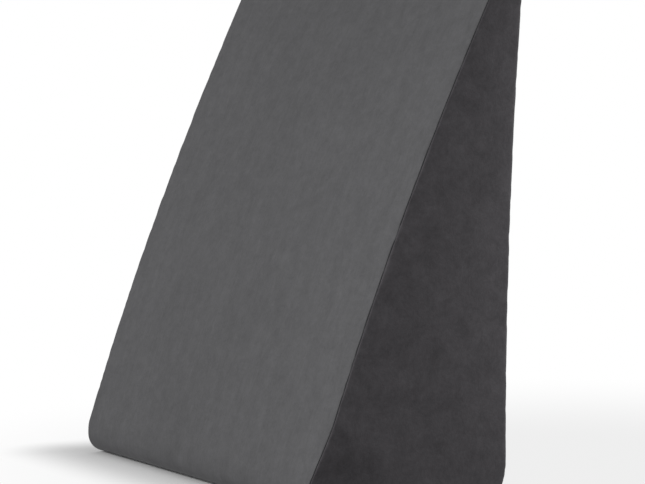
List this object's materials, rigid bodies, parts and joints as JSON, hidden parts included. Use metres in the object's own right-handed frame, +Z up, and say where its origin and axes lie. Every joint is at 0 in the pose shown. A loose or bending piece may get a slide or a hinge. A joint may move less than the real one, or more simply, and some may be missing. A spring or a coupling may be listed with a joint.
{
  "type": "wedge pillow",
  "caption": "Filled velour bed wedge pillow standing on its thick end, with a crowned slanted face, an upright back, a thin rounded tip and triangular side panels set in with drawn-in seams.",
  "frame": {"origin": "on the floor under the middle of the pillow's box, the pillow standing on its thick end", "axes": "+X across the width, from one triangular side panel to the other; +Y towards the upright back, the slanted face looking to -Y; +Z up from the base to the thin tip"},
  "size_m": [0.6218, 0.2638, 0.6099],
  "materials": {
    "velour": "matt charcoal grey velour with a soft brushed pile"
  },
  "bodies": {
    "root": {"wedge_pillow": "velour"}
  },
  "joints": []
}
